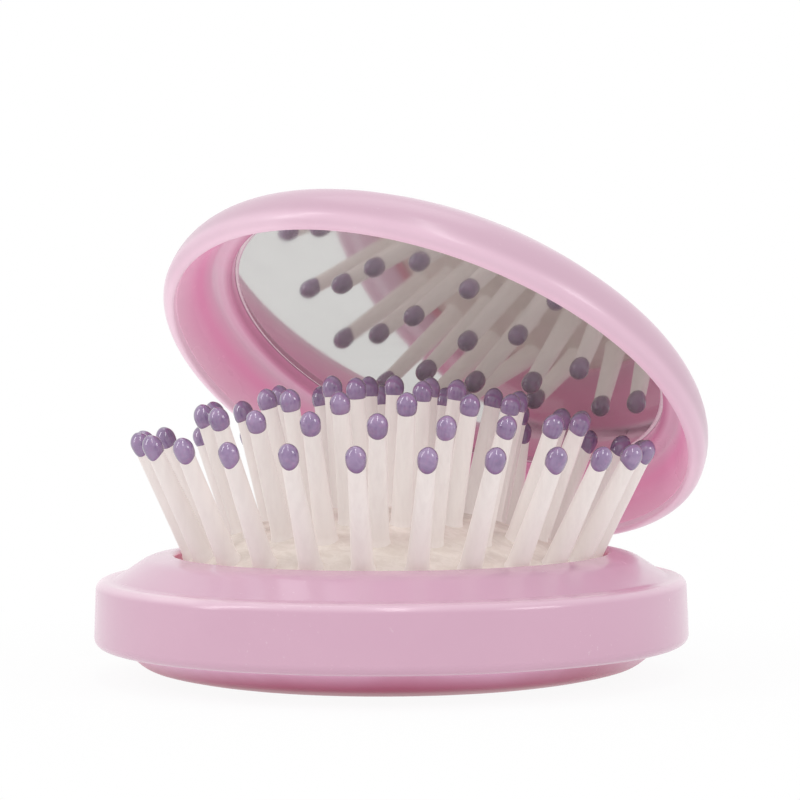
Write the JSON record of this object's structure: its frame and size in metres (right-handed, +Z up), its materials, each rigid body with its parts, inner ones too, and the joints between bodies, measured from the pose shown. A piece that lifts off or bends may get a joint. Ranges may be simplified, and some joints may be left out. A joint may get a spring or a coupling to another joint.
{
  "type": "folding hairbrush with mirror",
  "caption": "Round folding pocket hairbrush in milky pink plastic, with ball-tipped bristles on a pop-up cushion and a mirror in the hinged lid.",
  "frame": {"origin": "on the axis of the round base, at the height of the flat face that it rests on", "axes": "+Z up along the base's axis, +Y towards the hinge, +X along the hinge"},
  "size_m": [0.0651, 0.0679, 0.0531],
  "materials": {
    "pink_plastic": "glossy moulded, milky pink",
    "deep_pink_plastic": "glossy moulded, deeper pink",
    "cushion_rubber": "matt, finely wrinkled, beige",
    "pin_plastic": "satin off-white",
    "tip_plastic": "glossy mauve",
    "mirror_glass": "flat silvered glass",
    "glue_foam": "thin white adhesive foam",
    "hinge_steel": "plain drawn wire"
  },
  "bodies": {
    "base": {"base_housing": "pink_plastic", "bottom_cover": "deep_pink_plastic"},
    "hinge_pin": {"hinge_pin": "hinge_steel"},
    "lid": {"lid_shell": "pink_plastic", "mirror_frame": "deep_pink_plastic", "mirror_glass": "mirror_glass", "mirror_glue_pad": "glue_foam"},
    "pad": {"push_button": "deep_pink_plastic", "pad_carrier": "pink_plastic", "cushion_pad": "cushion_rubber", "pins_centre": "pin_plastic", "pins_inner": "pin_plastic", "pins_second": "pin_plastic", "pins_third": "pin_plastic", "pins_outer": "pin_plastic", "tips_centre": "tip_plastic", "tips_inner": "tip_plastic", "tips_second": "tip_plastic", "tips_third": "tip_plastic", "tips_outer": "tip_plastic"}
  },
  "joints": [
    {"name": "lid_close", "type": "hinge", "parent": "base", "child": "hinge_pin", "pos_m": [0, 0.0336, 0.0097], "axis": [-1, 0, 0], "range_deg": [-36.2, 0], "deforming": ["cushion_pad", "pins_centre", "pins_inner", "pins_second", "pins_third", "pins_outer", "tips_centre", "tips_inner", "tips_second", "tips_third", "tips_outer"]},
    {"name": "lid_open", "type": "hinge", "parent": "hinge_pin", "child": "lid", "pos_m": [0, 0.0336, 0.0097], "axis": [-1, 0, 0], "range_deg": [0, 135.8]},
    {"name": "pad_pop_up", "type": "slide", "parent": "base", "child": "pad", "axis": [0, 0, 1], "range_m": [-0.0076, 0]}
  ]
}
